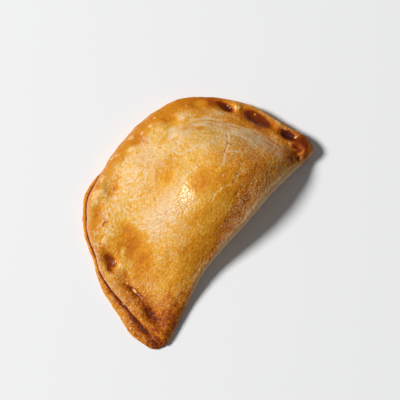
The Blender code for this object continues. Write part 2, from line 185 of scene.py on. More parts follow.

# The crust's looks over the plan. Rows are x, y, half length, half width, direction in degrees, strength,
# the kind of crust, or the painted highlight, that the patch paints over those above it, and its gloss.
BARE_CRUST = (*HONEY, 0.25)
PATCHES = (
    # Broad zones: creamy upper flank, tan and golden flanks, a pale zone that is partly painted sheen, and
    # the golden brown fold side.
    (-2.0, 26.0, 32.0, 9.0, 0.0, 0.8, *CREAM, 0.3),
    (-18.0, 4.0, 18.0, 13.0, 0.0, 0.75, *PALE, 0.35),
    (-24.0, 16.0, 16.0, 10.0, 15.0, 0.8, *PALE, 0.3),
    (-33.0, 24.0, 13.0, 9.0, 45.0, 0.9, *STRAW, 0.3),
    (-38.0, -14.0, 14.0, 9.0, 0.0, 0.8, *HONEY, 0.4),
    (-30.0, -24.0, 17.0, 7.0, 0.0, 0.8, *GOLDEN, 0.35),
    (12.0, -14.0, 28.0, 12.0, 0.0, 0.9, *PALE, 0.4),
    (20.0, 3.0, 22.0, 9.0, 5.0, 0.8, *CREAM, 0.35),
    (34.0, -14.0, 12.0, 12.0, 0.0, 0.8, *TOASTED, 0.35),
    (-6.0, -27.0, 26.0, 4.6, 0.0, 0.9, *AMBER, 0.4),
    (30.0, -25.0, 14.0, 6.0, 0.0, 0.8, *BROWNED, 0.3),
    # Pale floury crust that is partly painted sheen, where the light's highlight spreads.
    (-10.0, -1.0, 16.0, 6.5, -8.0, 0.8, *DUSTY, 0.5),
    (-24.0, -1.5, 8.0, 5.0, 0.0, 0.8, *DUSTY, 0.5),
    (-27.0, -9.0, 9.0, 6.0, 0.0, 0.7, *STRAW, 0.3),
    (3.0, -3.5, 6.0, 4.5, 0.0, 0.6, *STRAW, 0.95),
    # Painted highlight: near-white colour where the light's main highlight falls.
    (4.8, -4.0, 4.4, 3.2, 20.0, 1.0, *PAINTED_GLINT, 1.15),
    # Egg wash on the dome.
    (14.0, -7.0, 10.0, 6.0, -15.0, 1.0, *AMBER, 0.3),
    (20.0, -14.0, 9.0, 5.0, -20.0, 0.7, *RUSSET, 0.6),
    (1.0, -17.0, 9.0, 5.0, 0.0, 0.7, *AMBER, 0.6),
    (14.0, -20.0, 8.0, 4.0, 0.0, 0.6, *RUSSET, 0.6),
    (-17.5, 15.0, 4.6, 3.8, -20.0, 0.9, *STRAW, 0.15),
    (4.5, 9.3, 4.4, 2.5, 0.0, 0.9, *AMBER, 0.15),
    (13.5, 9.5, 4.6, 2.2, 0.0, 0.6, *GOLDEN, 0.15),
    (-3.0, 18.0, 9.0, 5.0, 0.0, 0.5, *PALE, 0.15),
    (19.0, 3.0, 8.0, 4.0, 0.0, 0.5, *GOLDEN, 0.15),
    (27.0, -2.0, 6.0, 3.4, 0.0, 0.5, *GOLDEN, 0.15),
    (27.5, 11.0, 4.4, 1.3, -12.0, 0.6, *GOLDEN, 0.15),
    (25.0, 14.4, 4.0, 0.9, -12.0, 0.5, *HONEY, 0.15),
    # Egg wash towards the lean tip, with its paler streak, partly a painted highlight.
    (-34.0, 5.0, 8.5, 7.0, 40.0, 0.95, *RUSSET, 0.2),
    (-44.0, 5.4, 2.6, 1.0, 50.0, 0.9, *GOLDEN, 0.8),
    (-36.0, -6.0, 7.0, 4.8, 10.0, 0.9, *RUSSET, 0.2),
    (-28.5, 10.5, 5.0, 4.0, 60.0, 0.85, *RUSSET, 0.2),
    (-33.7, 5.4, 2.8, 2.0, 0.0, 0.7, *RUSSET, 0.2),
    # Paler streak: cream crust that is partly a painted highlight on the egg wash.
    (-38.2, 4.4, 4.4, 1.3, 47.0, 0.9, *CREAM, 1.1),
    (-43.4, 0.6, 4.2, 1.5, 84.0, 0.85, *PALE, 0.6),
    # Flour on the crown's far side, down to the plump tip, and the peach-coloured strip beyond it.
    (22.0, 17.0, 15.0, 6.0, -10.0, 0.7, *CREAM, 0.25),
    (30.0, 24.0, 12.0, 5.0, -20.0, 0.6, *PALE, 0.25),
    (38.0, 0.0, 5.0, 9.0, 0.0, 0.7, *PALE, 0.2),
    (33.0, 16.0, 8.0, 3.0, -35.0, 0.5, *FLOURED, 0.2),
    (41.0, 10.0, 8.0, 3.6, -60.0, 0.8, *DUSTY, 0.1),
    (45.0, -2.0, 9.0, 4.2, -75.0, 0.85, *DUSTY, 0.1),
    (48.5, -15.0, 10.0, 4.6, -82.0, 0.9, *FLOURED, 0.1),
    (51.0, -27.0, 8.0, 5.0, -85.0, 0.85, *ROSY, 0.1),
    (48.0, 10.0, 6.0, 3.0, -60.0, 0.6, *DUSTY, 0.3),
    (47.0, 2.0, 5.0, 3.0, -70.0, 0.6, *ROSY, 0.3),
    (53.0, -21.0, 9.0, 3.0, -85.0, 0.6, *ROSY, 0.2),
    (52.0, 0.0, 8.0, 3.0, -75.0, 0.7, *TOASTED, 0.3),
    (54.5, -16.0, 7.0, 3.0, -80.0, 0.7, *ROSY, 0.2),
    (-28.0, 3.0, 4.0, 4.0, 0.0, 0.7, *RUSSET, 0.2),
    (-15.0, -21.6, 9.0, 2.0, 0.0, 0.7, *AMBER, 0.4),
    (-30.0, 23.6, 4.5, 2.6, 40.0, 0.7, *DUN, 0.3),
    (19.0, -8.6, 4.0, 3.0, 0.0, 0.6, *AMBER, 0.45),
    # Flour along the fold.
    (14.0, -29.6, 20.0, 3.2, -1.0, 0.85, *DUN, 0.3),
    (20.0, -35.6, 36.0, 2.8, -3.0, 0.95, *FLOURED, 0.05),
    (-8.0, -34.4, 12.0, 1.8, -3.0, 0.8, *FLOURED, 0.1),
    (4.0, -32.6, 30.0, 1.7, -1.5, 0.85, *DUN, 0.2),
    # Pressed edge from the top of the arc to the plump tip.
    (0.0, 37.0, 5.0, 2.6, 0.0, 0.6, *TOASTED, 0.3),
    (12.0, 35.5, 5.0, 2.8, 0.0, 0.7, *TOASTED, 0.3),
    (30.0, 31.0, 5.0, 2.6, -20.0, 0.7, *BROWNED, 0.4),
    (36.0, 32.0, 14.0, 3.8, -25.0, 0.85, *TOASTED, 0.4),
    (46.0, 25.5, 8.0, 3.8, -48.0, 0.85, *BROWNED, 0.4),
    (35.2, 23.4, 2.8, 2.2, -30.0, 0.7, *FLOURED, 0.3),
    (31.0, 27.0, 3.0, 1.3, -25.0, 0.95, *GOLDEN, 0.3),
    (31.4, 23.8, 3.6, 1.2, -38.0, 0.8, *GOLDEN, 0.3),
    (26.6, 26.2, 2.2, 0.9, -20.0, 0.7, *GOLDEN, 0.5),
    (52.0, 17.0, 6.0, 3.2, -58.0, 0.85, *DARK, 0.5),
    (47.2, 21.0, 3.8, 2.4, -48.0, 0.9, *BROWNED, 0.4),
    (58.5, -8.0, 17.0, 4.8, -80.0, 0.9, *CHESTNUT, 0.6),
    # Paler outer edge of the right rim: painted bounce light from the floor.
    (64.0, -14.0, 12.0, 2.4, -80.0, 0.8, *HONEY, 0.4),
    (57.6, 4.4, 3.2, 2.6, 0.0, 0.85, *HONEY, 0.95),
    (61.0, -26.0, 7.0, 5.0, -80.0, 0.8, *CHESTNUT, 0.2),
    (62.0, -34.0, 6.0, 5.0, 0.0, 1.0, *SCORCHED, 0.15),
    (54.0, -34.0, 7.0, 4.0, 0.0, 0.8, *BROWNED, 0.2),
    # Hollows and pressed edge towards the lean tip.
    (-37.0, 24.0, 5.0, 3.0, 30.0, 0.7, *TOASTED, 0.3),
    (-30.0, 36.0, 9.0, 3.0, 35.0, 0.6, *TOASTED, 0.3),
    (-21.0, 38.0, 6.0, 2.4, 0.0, 0.7, *TOASTED, 0.3),
    (-29.0, 28.0, 6.0, 2.4, 15.0, 0.8, *BROWNED, 0.3),
    (-15.5, 28.6, 6.0, 2.6, 20.0, 0.8, *BROWNED, 0.3),
    (14.0, 32.6, 2.6, 3.4, 0.0, 0.6, *DUN, 0.3),
    (5.0, 24.0, 5.0, 6.0, 0.0, 0.5, *ROSY, 0.3),
    (-47.0, 14.0, 7.0, 3.0, 62.0, 0.7, *HONEY, 0.3),
    (-42.5, 12.0, 6.0, 2.0, 70.0, 0.7, *BROWNED, 0.3),
    (-43.0, -0.5, 6.0, 4.0, 0.0, 0.7, *STRAW, 0.5),
    (-53.0, 2.0, 7.0, 2.2, 70.0, 0.7, *STRAW, 0.3),
    (-54.5, -12.0, 8.0, 1.8, 80.0, 0.7, *TOASTED, 0.3),
    (-58.6, -4.0, 7.0, 1.6, 72.0, 0.7, *TOASTED, 0.3),
    (-60.8, -30.0, 8.0, 3.2, 88.0, 0.85, *DARK, 0.3),
    (-61.0, -38.0, 6.0, 3.0, 0.0, 0.8, *SCORCHED, 0.3),
    (-56.5, -10.0, 7.0, 2.0, 78.0, 0.7, *TOASTED, 0.3),
    (-59.0, -22.0, 8.0, 2.0, 84.0, 0.7, *BROWNED, 0.3),
    (-52.0, -15.0, 5.0, 2.4, 80.0, 0.6, *CHESTNUT, 0.3),
    (-52.0, -35.0, 11.0, 5.0, 0.0, 0.85, *DARK, 0.3),
    (-43.0, -27.5, 4.0, 2.6, 0.0, 0.7, *CHESTNUT, 0.3),
    (-36.0, -26.0, 6.0, 3.0, 0.0, 0.5, *BROWNED, 0.3),
    (-40.0, -32.5, 9.0, 2.4, -5.0, 0.7, *CHESTNUT, 0.25),
    (-24.0, -31.0, 9.0, 1.8, 0.0, 0.5, *HONEY, 0.25),
    (-54.0, -26.0, 9.0, 4.6, 70.0, 0.6, *DARK, 0.3),
    (-54.0, -24.6, 7.0, 2.5, 75.0, 0.9, *DARK, 0.3),
    (-45.2, 9.2, 5.4, 2.6, 68.0, 0.9, *CHESTNUT, 0.4),
    (-48.2, 5.9, 2.2, 1.7, 60.0, 0.9, *DARK, 0.4),
    (-47.6, -4.2, 4.6, 2.2, 55.0, 0.7, *BROWNED, 0.4),
    (-50.6, -7.2, 3.2, 2.2, 80.0, 0.85, *CHESTNUT, 0.4),
    (-48.6, -12.4, 3.2, 1.0, 80.0, 0.7, *BROWNED, 0.7),
    (62.2, -17.6, 2.0, 1.2, 0.0, 0.6, *HONEY, 0.3),
    (53.2, -32.0, 3.4, 2.0, 50.0, 0.8, *CHESTNUT, 0.25),
    (58.0, -38.4, 4.6, 1.6, 0.0, 0.8, *DARK, 0.4),
)

# Presses, streaks and painted glints, that is painted highlights, with crisper edges, in the same form.
SPOTS = (
    (32.1, 27.3, 3.2, 1.1, -26.0, 0.9, *AMBER, 0.4),
    (29.9, 25.4, 3.4, 0.9, -30.0, 0.7, *GOLDEN, 0.3),
    (47.6, 21.2, 4.0, 2.0, -48.0, 0.85, *AMBER, 0.5),
    (-34.1, 6.0, 4.4, 1.2, -68.0, 0.8, *RUSSET, 0.2),
    (-36.6, -7.0, 4.0, 2.4, -90.0, 0.5, *RUSSET, 0.2),
    (54.2, 9.4, 5.2, 1.9, -84.0, 0.95, *SCORCHED, 0.9),
    (54.5, 8.0, 2.6, 1.2, -84.0, 0.8, *CHARRED, 0.8),
    # Painted glints on the glossy bump by the press.
    (57.2, 5.3, 1.1, 0.5, 20.0, 1.0, *PAINTED_GLINT, 1.0),
    (57.9, 3.6, 1.0, 0.5, -10.0, 1.0, *PAINTED_GLINT, 1.0),
    (59.1, -7.4, 8.2, 3.4, -84.0, 1.0, *SCORCHED, 0.95),
    (59.6, -7.8, 6.0, 1.9, -82.0, 0.95, *DARK, 0.85),
    (60.5, -5.0, 0.6, 0.5, 0.0, 0.9, *DUSTY, 1.0),
    (57.6, -10.0, 0.6, 0.5, 0.0, 0.8, *DUN, 0.8),
    (61.9, -25.4, 4.7, 2.2, -85.0, 1.0, *CHARRED, 0.15),
    (58.6, -34.8, 1.8, 1.0, -30.0, 0.9, *SCORCHED, 0.2),
    (54.8, -37.2, 1.8, 0.8, 35.0, 0.9, *SCORCHED, 0.2),
    (51.9, -34.8, 2.4, 0.8, 60.0, 0.8, *DARK, 0.2),
    (58.9, -32.1, 2.2, 0.9, -80.0, 0.85, *SCORCHED, 0.2),
    (-44.6, 7.7, 4.0, 2.3, 72.0, 0.9, *DARK, 0.5),
    # Painted glint in the press.
    (-43.7, 5.5, 0.45, 0.35, 0.0, 1.0, *PAINTED_GLINT, 1.0),
    (-50.0, -11.6, 5.4, 1.3, 86.0, 0.95, *DARK, 0.95),
    # Painted glint in the slit.
    (-49.7, -11.4, 1.4, 0.5, 84.0, 1.0, *PAINTED_GLINT, 1.0),
    (-53.4, -24.0, 5.0, 1.7, 72.0, 0.6, *DARK, 0.3),
)

# How crisp the edges of the patches and of the spots are.
PATCH_EDGE, SPOT_EDGE = 1.3, 3.0

# Pits baked brown into the dome: x, y and radius; and their depth.
PITS = (
    (40.6, -1.8, 0.5), (37.4, -5.0, 0.7), (35.2, -5.7, 0.6), (32.3, -6.9, 0.7), (17.9, -1.1, 0.5),
    (14.6, 0.5, 0.4), (26.8, -19.2, 0.7), (21.9, -20.1, 0.6), (18.9, -24.4, 0.7), (15.2, 14.8, 0.4),
)
PIT_DEPTH = 0.35
PIT_CRUST = CHESTNUT

# Pale seams where the dough has wrinkled: points along each, half width and strength; and their depth.
SEAM_DEPTH = 0.12
SEAMS = (
    (((42.2, -0.8), (39.2, -3.7), (35.6, -5.9), (32.3, -6.9), (29.9, -7.8), (27.2, -9.8), (23.7, -9.9),
      (21.2, -8.7)), 0.45, 0.9),
    (((32.5, -6.8), (34.8, -9.8), (36.9, -12.7)), 0.40, 0.8),
    (((19.0, -0.9), (15.6, 0.3), (13.1, 1.2), (9.7, 1.5), (5.1, 1.1)), 0.40, 0.7),
    (((19.6, 16.2), (17.5, 15.2), (18.2, 11.2), (21.7, 9.4), (24.2, 7.6), (27.1, 6.9)), 0.40, 0.7),
    (((27.2, -18.9), (24.4, -20.1), (21.1, -20.4), (18.5, -17.7), (14.4, -16.4), (11.6, -16.0),
      (7.6, -17.2)), 0.45, 0.8),
    (((19.0, -24.3), (17.2, -27.3)), 0.40, 0.7),
    (((67.2, -10.6), (64.2, -16.6), (63.2, -19.4), (63.7, -22.7)), 0.40, 0.8),
)

# The kinds of crust of the rim, of the lower layer, of its lean tip, of the gap between the layers, and
# of the fold's floury side. The lean tip's and the gap's dark is browned crust and partly painted shade
# by the upper layer's edge.
RIM_CRUST = ROSY
LOWER_CRUST = HONEY
LOWER_TIP_SHADE_AND_CRUST = SCORCHED
GAP_SHADE_AND_CRUST = SCORCHED
FOLD_CRUST = FLOURED

# Where those parts lie. A pair is where a part starts and over how much it comes in, downwards where
# that is negative. The rim: its strength, how far in it ends and the tone that it stops at. The tip of
# the lower layer, darkest by the upper layer's edge as painted shade: along y, its end along x, and its
# least share, with how far in it drops to that.
RIM_SHARE = 0.8
RIM_INSET = (0.5, 3.0)
RIM_TONES = (0.54, -0.08)
LOWER_TIP_ALONG = (-14.0, -14.0)
LOWER_TIP_END = -50.0
LOWER_TIP_LEAST, LOWER_TIP_REACH = 0.4, 4.5

# The gap, dark with browned crust and painted shade under the upper layer's edge: how wide it shows, at
# least and for each millimetre of ledge, and the ledge that it starts
# at. The fold: its levels, and its two ends along x.
GAP_WIDTHS = (0.20, 0.30)
GAP_LEDGES = (0.5, 0.9)
FOLD_LEVELS = (0.5, 2.5)
FOLD_ENDS = ((-45.0, 20.0), (60.0, -10.0))

# Where the crust is grainy, in such pairs: in from the rim, past two lines along x and y, and at the
# lean tip; the tones too scorched for it; and how much smoother edge, scorched and wrinkled crust are.
GRAINY_INSET = (4.0, 6.0)
GRAINY_ENDS = ((-40.0, -10.0), (-18.0, -8.0))
GRAINY_TIP = ((-44.0, -8.0), (-12.0, -14.0))
GRAINY_TIP_SHARE = 0.8
SCORCHED_TONES = (0.68, 0.15)
SMOOTH_EDGE, SMOOTH_SCORCHED, SMOOTH_WRINKLED = 0.6, 0.8, 0.5

# Where the egg wash has crazed into cells with pale borders: x, y, half length, half width, direction
# in degrees and strength.
CRAZED = (
    (22.0, -14.0, 26.0, 14.0, 0.0, 1.0),
    (40.0, -8.0, 14.0, 16.0, 0.0, 0.8),
    (-34.0, 2.0, 10.0, 9.0, 0.0, 0.4),
)

# Where cream-coloured veins marble the crust, in the same form.
MARBLED = (
    (-18.0, 20.0, 26.0, 15.0, 15.0, 1.0),
    (-36.0, 14.0, 12.0, 12.0, 0.0, 0.8),
    (12.0, 27.0, 22.0, 8.0, -5.0, 0.8),
    (-30.0, -16.0, 14.0, 10.0, 0.0, 0.6),
    (-22.0, -2.0, 12.0, 8.0, 0.0, 0.6),
)

# Where fine wrinkles run along the pressed edge, in the same form; their length, width and height, and
# what they add to tone and warmth.
WRINKLED = (
    (27.0, 21.5, 12.0, 4.5, -20.0, 0.8),
    (42.0, 9.0, 14.0, 7.0, -55.0, 1.0),
    (50.0, -14.0, 16.0, 6.5, -80.0, 1.0),
)
WRINKLE_SIZES = (9.0, 1.3, 0.15)
WRINKLE_LOOKS = (0.30, 0.80)

# Pale flakes that stand a little proud, in the same form.
FLAKES = (
    (-19.5, 31.8, 2.6, 1.8, -20.0, 0.75),
    (-25.5, 32.4, 2.6, 1.8, 30.0, 0.9),
    (-23.0, 35.0, 2.6, 1.4, 10.0, 0.8),
    (-38.4, 16.4, 2.4, 1.2, 0.0, 0.9),
    (7.0, 34.4, 2.4, 1.6, -30.0, 0.9),
    (12.0, 38.4, 2.2, 1.0, 0.0, 0.7),
    (17.0, 35.0, 1.8, 0.9, 20.0, 0.8),
    (22.4, 34.0, 1.6, 0.9, 0.0, 0.9),
    (27.2, 34.4, 1.0, 0.6, 0.0, 0.7),
    (-5.0, 33.0, 3.6, 1.4, -10.0, 0.7),
    (-1.0, 38.0, 3.0, 1.2, -30.0, 0.6),
    (-14.0, 36.6, 2.6, 1.4, 0.0, 0.6),
    (36.0, 22.6, 2.6, 1.4, -30.0, 0.6),
    (-66.0, -22.0, 0.9, 0.8, 0.0, 1.0),
    (63.9, -29.3, 1.0, 0.7, 0.0, 0.9),
)

# How far the patches' edges are pushed about, in slices of noise of these wavelengths.
PATCH_WARPS = ((5.0, 1.3), (1.8, 0.7))

# Colours of the crust by tone, where it is floury and where it is egg-washed, and of its flakes.
FLOURY = ((0.0, (0.80, 0.57, 0.32)), (0.22, (0.67, 0.445, 0.225)), (0.40, (0.58, 0.325, 0.155)),
          (0.60, (0.49, 0.205, 0.075)), (0.85, (0.24, 0.062, 0.010)), (1.0, (0.055, 0.012, 0.006)))
WASHED = ((0.0, (0.80, 0.53, 0.14)), (0.25, (0.69, 0.358, 0.036)), (0.45, (0.575, 0.200, 0.006)),
          (0.65, (0.385, 0.090, 0.002)), (0.82, (0.175, 0.025, 0.001)), (1.0, (0.050, 0.007, 0.003)))
FLAKE = (0.80, 0.51, 0.21, 1.0)

# What the material reads of each point.
MATERIAL_READS = ("tone", "warmth", "gloss", "grainy", "crazed", "marbled", "seams", "flaky")

# Wavelengths of the material's patterns, and how far the loose ones are pushed about.
LOOSE_WAVE, LOOSE_PUSH = 4.0, 3.0
FINE_WAVE = 0.85
GRAIN_WAVE = 1.6
MOTTLE_WAVE = 4.4
CLOUD_WAVE = 13.0
THREAD_WAVE = 3.2
CELL_SIZE = 2.6
PEBBLE_WAVE = 1.2

# The surface: height and strength of the pebbles, roughness where it is dull and where it is glossy,
# the bare crust's reflection, and the most, roughness and refraction of the egg wash as a coat.
PEBBLE_HEIGHT, PEBBLE_STRENGTH = 0.34, 0.9
ROUGHNESS = (0.70, 0.30)
SPECULAR = 0.12
COAT_MOST, COAT_ROUGHNESS, COAT_REFRACTION = 0.6, 0.16, 1.4

# Camera: the point it looks at, its azimuth, elevation and distance, the width that it sees there, the
# width of its sensor, and how many metres it sees.
AIM = (8.84, -9.10, 0.0)
AZIMUTH, ELEVATION, DISTANCE = -52.6, 80.0, 800.0
SEEN_WIDTH = 207.25
SENSOR = 36.0
CAMERA_REACH = 50.0

# Light: the direction towards it, its distance in metres, the angle that it fills as the pastry sees it,
# its power, and the brightness and tint of the surroundings.
TO_LIGHT = (-0.3656, 0.5756, 0.731)
LIGHT_DISTANCE = 4.0
LIGHT_ANGLE = 16.0
LIGHT_POWER = 198.0
SURROUNDINGS = 0.14
SURROUNDINGS_TINT = (0.96, 1.00, 1.06, 1.0)

# Floor: its width in metres, colour and roughness.
FLOOR_SIZE = 12.0
FLOOR_COLOUR = (0.82, 0.82, 0.82, 1.0)
FLOOR_ROUGHNESS = 0.9


def smooth_step(value):
    value = np.clip(value, 0.0, 1.0)
    return value * value * (3.0 - 2.0 * value)


def coming_in(value, start, width):
    """From 0 at the start to 1 where the value has gone on by the width, which may be negative."""
    return smooth_step((value - start) / width)


def curve_point(before, start, end, after, u):
    """Points on Catmull-Rom curves, from the start, where u is 0, to the end."""
    return 0.5 * (2.0 * start + (end - before) * u
                  + (2.0 * before - 5.0 * start + 4.0 * end - after) * u ** 2
                  + (3.0 * start - before - 3.0 * end + after) * u ** 3)


def closed_curve(stations, samples):
    """Curve through the stations, with some samples between each two."""
    before, end, after = (np.roll(stations, shift, axis=0) for shift in (1, -1, -2))
    pieces = [curve_point(before, stations, end, after, u) for u in np.arange(samples) / samples]
    return np.stack(pieces, axis=1).reshape(-1, stations.shape[1])


def even_points(curve, count):
    """The closed curve's rows at equal distances along its plan outline."""
    closed = np.vstack([curve, curve[:1]])
    steps = np.hypot(*np.diff(closed[:, :2], axis=0).T)
    travelled = np.concatenate([[0.0], np.cumsum(steps)])
    wanted = np.arange(count) / count * travelled[-1]
    return np.stack([np.interp(wanted, travelled, column) for column in closed.T], axis=1)


def inward_directions(plan):
    """Unit vectors into the pastry, turned gradually round the tips so that insets don't cross."""
    along = np.roll(plan, -1, axis=0) - np.roll(plan, 1, axis=0)
    inward = np.stack([-along[:, 1], along[:, 0]], axis=1)
    inward /= np.hypot(*inward.T)[:, None]
    reach = max(1, round(len(plan) * INWARD_REACH))
    for _ in range(3):
        inward = sum(np.roll(inward, shift, axis=0) for shift in range(-reach, reach + 1))
        inward /= np.hypot(*inward.T)[:, None]
    return inward


def waves(plan, height, wavelength, amount):
    """Smooth unevenness at points in plan, at a height that picks a slice of the noise."""
    return np.array([
        amount * noise.noise(Vector((x / wavelength, y / wavelength, height)))
        for x, y in plan
    ])


def border_weights(points, border):
    """Mean value coordinates: the share of each border point in a smooth blend at each inner point."""
    spokes = border[None] - points[:, None]
    lengths = np.hypot(spokes[..., 0], spokes[..., 1])
    ahead = np.roll(spokes, -1, axis=1)
    cross = spokes[..., 0] * ahead[..., 1] - spokes[..., 1] * ahead[..., 0]
    dot = (spokes * ahead).sum(axis=2)
    half_tangent = np.tan(0.5 * np.arctan2(cross, dot))
    weights = (half_tangent + np.roll(half_tangent, 1, axis=1)) / lengths
    return weights / weights.sum(axis=1)[:, None]


def lengthwise_share(along):
    """How much of the crown's rise is left at each distance along the fold."""
    side = np.where(along < CROWN_ALONG, DOME_ENDS[0], DOME_ENDS[1])
    way = np.clip((along - CROWN_ALONG) / (side - CROWN_ALONG), 0.0, 1.0)
    return (1.0 - way ** 2) ** np.where(along < CROWN_ALONG, *FALLS)


def dome_height(plan, part_across, ground):
    """Height of the smooth dome at points in plan, over ground that runs between its borders."""
    crest = CREST + CREST_SHIFT * plan[:, 0] / DOME_ENDS[1]
    from_crest = np.where(part_across < crest, (crest - part_across) / crest,
                          (part_across - crest) / (1.0 - crest))
    rise = lengthwise_share(plan[:, 0]) * (1.0 - np.clip(from_crest, 0.0, 1.0) ** 2)
    return ground + (CROWN_HEIGHT - ground) * rise


def patch_strength(plan, x, y, half_length, half_width, direction, strength, power=PATCH_EDGE):
    """Strength of an oval patch at points in plan."""
    turn = math.radians(direction)
    offset = plan - (x, y)
    lengthwise = (offset @ (math.cos(turn), math.sin(turn))) / half_length
    sideways = (offset @ (-math.sin(turn), math.cos(turn))) / half_width
    return strength * np.exp(-(lengthwise ** 2 + sideways ** 2) ** power)


def top_relief(plan):
    """What the presses and the lumps of the dough add to the height at points in plan."""
    lumps = sum(waves(plan, 0.7 * order, size, amount) for order, (size, amount) in enumerate(LUMPS))
    return lumps - sum(patch_strength(plan, *hollow) for hollow in HOLLOWS)


def sealed_section(ledge, width, thickness):
    """Insets and heights down the sealed edge, from the pressed border to the base."""
    gape = SHUT_DEPTH + (GAPE_DEPTH - SHUT_DEPTH) * smooth_step(ledge / GAPE_LEDGE)
    top, low = RIM_HEIGHT, LOWER_LAYER
    slope = BORDER_HEIGHT - top
    border = ((ledge + 0.82 * width, top + 0.76 * slope),
              (ledge + 0.60 * width, top + 0.46 * slope),
              (ledge + 0.38 * width, top + 0.20 * slope),
              (ledge + 0.20 * width, top - 0.1),
              (ledge + 0.07 * width, top - 0.8))
    upper_edge = ((ledge + 0.1, top - 2.1),
                  (ledge + 0.35, low + 1.0))
    parting = ((ledge + gape, low + 0.45),)
    lower_edge = ((0.75 * ledge + 0.7, low + 0.1),
                  (0.35 * ledge + 0.8, low - 0.1),
                  (0.3, low - 1.1),
                  (0.2, 0.35 * low),
                  (1.2, 0.1 * low))
    base = ((3.0, 0.0),)
    section = np.array(border + upper_edge + parting + lower_edge + base)
    return section * (1.0, thickness)


def shoulder_point(slope):
    """Inset and height of a point of the fold's round shoulder, against the fold's widest line."""
    return SHOULDER_RADIUS * (1.0 - np.sin(slope)), SHOULDER_RADIUS * np.cos(slope)


def fold_section(limb, slope, levels):
    """Insets and heights down the fold, from the shoulder, where it has this slope, to the base."""
    upright = 0.5 * math.pi
    section = []
    for part in np.arange(1, SHOULDER_LEVELS + 1) / SHOULDER_LEVELS:
        inset, rise = shoulder_point(slope + part * (upright - slope))
        section.append((inset, limb + rise))
    below = levels - SHOULDER_LEVELS
    for turn in np.arange(1, below + 1) * upright / below:
        section.append((TUCK_UNDER * (1.0 - math.cos(turn)), limb * (1.0 - math.sin(turn))))
    return np.array(section)


class Border:
    """The outline at equal steps, its sizes, and the border between the dome and the edge."""

    def __init__(self):
        stations = even_points(closed_curve(np.array(OUTLINE), CURVE_SAMPLES), POINTS_ROUND)
        self.outline, self.width, self.thickness = stations[:, :2], stations[:, 3], stations[:, 5]
        self.ledge = np.clip(stations[:, 2], 0.0, None)
        self.seal = np.clip(stations[:, 4], 0.0, 1.0)
        self.inward = inward_directions(self.outline)
        share = lengthwise_share(self.outline[:, 0])
        limb_tip = np.where(self.outline[:, 0] < CROWN_ALONG, *LIMB_TIPS)
        self.limb = limb_tip + (LIMB_CROWN - limb_tip) * share
        self.slope = np.radians(SHOULDER_SLOPES[0] + (SHOULDER_SLOPES[1] - SHOULDER_SLOPES[0]) * share)
        shoulder_inset, shoulder_rise = shoulder_point(self.slope)
        inset = shoulder_inset + self.seal * (self.ledge + self.width - shoulder_inset)
        self.plan = self.outline + self.inward * inset[:, None]
        shoulder = self.limb + shoulder_rise
        self.height = shoulder + self.seal * (BORDER_HEIGHT * self.thickness - shoulder)


def plain_dome(plan, border):
    """Points on the smooth dome over points in plan, with their level, 0, and their share of relief."""
    weights = border_weights(plan, border.plan)
    height = dome_height(plan, weights @ border.seal, weights @ border.height)
    return np.column_stack([plan, height, np.zeros(len(plan)), np.ones(len(plan))])


def edge_levels(border):
    """The section's levels as rings of x, y, z, level and share of relief."""
    wavelength, amount = EDGE_WAVES
    upper_wave = waves(border.outline, 3.0, wavelength, amount)
    lower_wave = waves(border.outline, 9.0, wavelength, amount)
    sealed = np.array([sealed_section(*sizes)
                       for sizes in zip(border.ledge, border.width, border.thickness)])
    folded = np.array([fold_section(*side, sealed.shape[1]) for side in zip(border.limb, border.slope)])
    mixed = folded + (sealed - folded) * border.seal[:, None, None]
    rings = []
    for level in range(mixed.shape[1]):
        wave = upper_wave if level < PARTING_LEVEL else lower_wave
        settled = level == mixed.shape[1] - 1
        inset = mixed[:, level, 0] + (0.0 if settled else wave * border.seal)
        plan = border.outline + border.inward * inset[:, None]
        fading = max(0.0, 1.0 - (level + 1) / BORDER_LEVELS)
        relief = (fading + border.seal * (1.0 - fading)) * (level < BORDER_LEVELS)
        rings.append(np.column_stack([plan, mixed[:, level, 1], np.full(len(plan), level + 1.0), relief]))
    return rings


def between_rings(rings, steps):
    """Curved rings from the second ring to the last but one, with some steps between each two."""
    fine = [curve_point(*four, u) for four in zip(rings, rings[1:], rings[2:], rings[3:])
            for u in np.arange(steps) / steps]
    return fine + [rings[-2]]


def base_rings(last):
    """Flat rings from the base's edge towards its middle."""
    rings = []
    for step in range(1, BASE_RINGS):
        ring = last.copy()
        ring[:, :2] = POLE + (1.0 - step / BASE_RINGS) * (last[:, :2] - POLE)
        rings.append(ring)
    return rings


def thin_out(ring, share):
    """Every second, fourth or eighth point of a ring near the pole, so that its faces stay even."""
    stride = 1
    while stride < 8 and share * stride < 0.5:
        stride *= 2
    return ring[::stride]


def pastry_rings():
    """The rings of the whole pastry, from the pole to the middle of the base."""
    border = Border()
    dome = []
    for step in range(1, DOME_RINGS):
        share = step / DOME_RINGS
        plan = np.array(POLE) + share * thin_out(border.plan - POLE, share)
        dome.append(plain_dome(plan, border))
    start = plain_dome(np.array(POLE) + LEAD_RING * (border.plan - POLE), border)
    edge = [np.column_stack([border.plan, border.height, np.zeros(POINTS_ROUND), np.ones(POINTS_ROUND)])]
    edge += edge_levels(border)
    inside = base_rings(edge[-1])
    rings = dome + between_rings([start] + edge + inside[:1], SECTION_STEPS)
    pole = plain_dome(np.array([POLE]), border)
    middle = np.array([[*POLE, 0.0, edge[-1][0, 3], 0.0]])
    return [pole] + rings + [thin_out(ring, 1.0 - (step + 1) / BASE_RINGS)
                             for step, ring in enumerate(inside)] + [middle]


